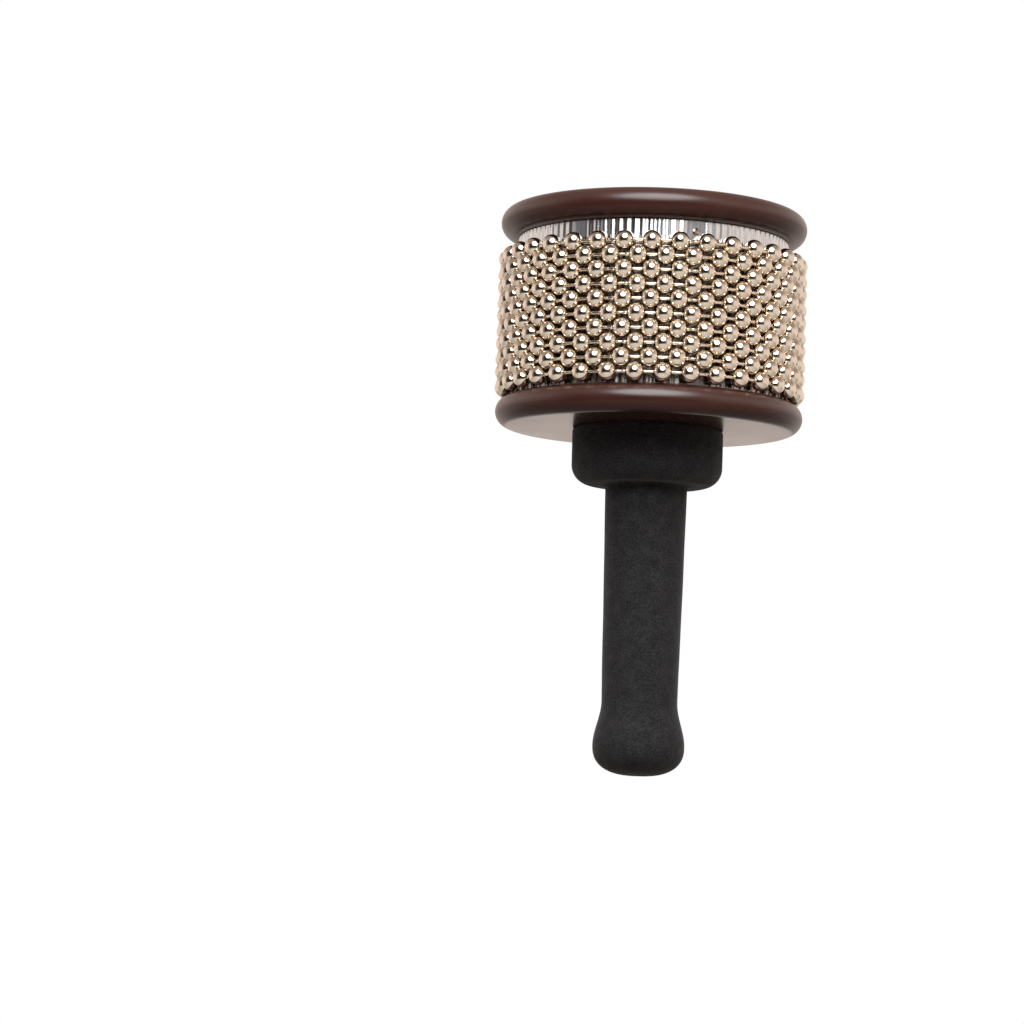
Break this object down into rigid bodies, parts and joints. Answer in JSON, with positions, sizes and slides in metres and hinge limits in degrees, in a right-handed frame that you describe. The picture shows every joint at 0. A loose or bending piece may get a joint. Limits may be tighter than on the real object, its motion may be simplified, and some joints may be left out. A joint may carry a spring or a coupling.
{
  "type": "cabasa",
  "caption": "Hand-held cabasa: loops of ball chain that turn loose round a ribbed steel sleeve between two brown wooden flanges, on a black foam handle.",
  "frame": {"origin": "on the drum's axis, in the middle of the hand grip", "axes": "+Z along the drum's axis from the handle to the top flange, the pictured front faces -Y"},
  "size_m": [0.0892, 0.0892, 0.1621],
  "materials": {
    "lacquered_wood": "dark brown satin lacquer",
    "bare_wood": "bare",
    "sleeve_steel": "pressed stainless sheet",
    "tack_steel": "darkened",
    "nickel_chain": "polished nickel",
    "foam": "matt fine-celled foam",
    "zinc_steel": "zinc plated",
    "insert_brass": "machined"
  },
  "bodies": {
    "drum_and_handle": {"top_flange": "lacquered_wood", "bottom_flange": "lacquered_wood", "drum_core": "bare_wood", "ribbed_sleeve": "sleeve_steel", "sleeve_tacks": "tack_steel", "handle_core": "bare_wood", "foam_grip": "foam", "tie_bolt": "zinc_steel", "bolt_washer": "zinc_steel", "threaded_insert": "insert_brass"},
    "loop_01": {"loop_01_beads": "nickel_chain", "loop_01_links": "nickel_chain"},
    "loop_02": {"loop_02_beads": "nickel_chain", "loop_02_links": "nickel_chain"},
    "loop_03": {"loop_03_beads": "nickel_chain", "loop_03_links": "nickel_chain"},
    "loop_04": {"loop_04_beads": "nickel_chain", "loop_04_links": "nickel_chain"},
    "loop_05": {"loop_05_beads": "nickel_chain", "loop_05_links": "nickel_chain"},
    "loop_06": {"loop_06_beads": "nickel_chain", "loop_06_links": "nickel_chain"},
    "loop_07": {"loop_07_beads": "nickel_chain", "loop_07_links": "nickel_chain"},
    "loop_08": {"loop_08_beads": "nickel_chain", "loop_08_links": "nickel_chain"},
    "loop_09": {"loop_09_beads": "nickel_chain", "loop_09_links": "nickel_chain"},
    "loop_10": {"loop_10_beads": "nickel_chain", "loop_10_links": "nickel_chain"}
  },
  "joints": [
    {"name": "bead_spin", "type": "hinge", "parent": "drum_and_handle", "child": "loop_10", "pos_m": [0, 0, 0.0603], "axis": [0, 0, 1], "continuous": true},
    {"name": "loop_01_lift", "type": "slide", "parent": "loop_10", "child": "loop_01", "axis": [0, 0, 1], "range_m": [0, 0.0038]},
    {"name": "loop_02_lift", "type": "slide", "parent": "loop_10", "child": "loop_02", "axis": [0, 0, 1], "range_m": [0, 0.00339]},
    {"name": "loop_03_lift", "type": "slide", "parent": "loop_10", "child": "loop_03", "axis": [0, 0, 1], "range_m": [0, 0.00297]},
    {"name": "loop_04_lift", "type": "slide", "parent": "loop_10", "child": "loop_04", "axis": [0, 0, 1], "range_m": [0, 0.00254]},
    {"name": "loop_05_lift", "type": "slide", "parent": "loop_10", "child": "loop_05", "axis": [0, 0, 1], "range_m": [0, 0.00212]},
    {"name": "loop_06_lift", "type": "slide", "parent": "loop_10", "child": "loop_06", "axis": [0, 0, 1], "range_m": [0, 0.0017]},
    {"name": "loop_07_lift", "type": "slide", "parent": "loop_10", "child": "loop_07", "axis": [0, 0, 1], "range_m": [0, 0.00128]},
    {"name": "loop_08_lift", "type": "slide", "parent": "loop_10", "child": "loop_08", "axis": [0, 0, 1], "range_m": [0, 0.00085]},
    {"name": "loop_09_lift", "type": "slide", "parent": "loop_10", "child": "loop_09", "axis": [0, 0, 1], "range_m": [0, 0.00043]}
  ],
  "couplings": [
    {"joint": "loop_02_lift", "follows": "loop_01_lift", "ratio": 0.88889},
    {"joint": "loop_03_lift", "follows": "loop_01_lift", "ratio": 0.77778},
    {"joint": "loop_04_lift", "follows": "loop_01_lift", "ratio": 0.66667},
    {"joint": "loop_05_lift", "follows": "loop_01_lift", "ratio": 0.55556},
    {"joint": "loop_06_lift", "follows": "loop_01_lift", "ratio": 0.44444},
    {"joint": "loop_07_lift", "follows": "loop_01_lift", "ratio": 0.33333},
    {"joint": "loop_08_lift", "follows": "loop_01_lift", "ratio": 0.22222},
    {"joint": "loop_09_lift", "follows": "loop_01_lift", "ratio": 0.11111}
  ]
}
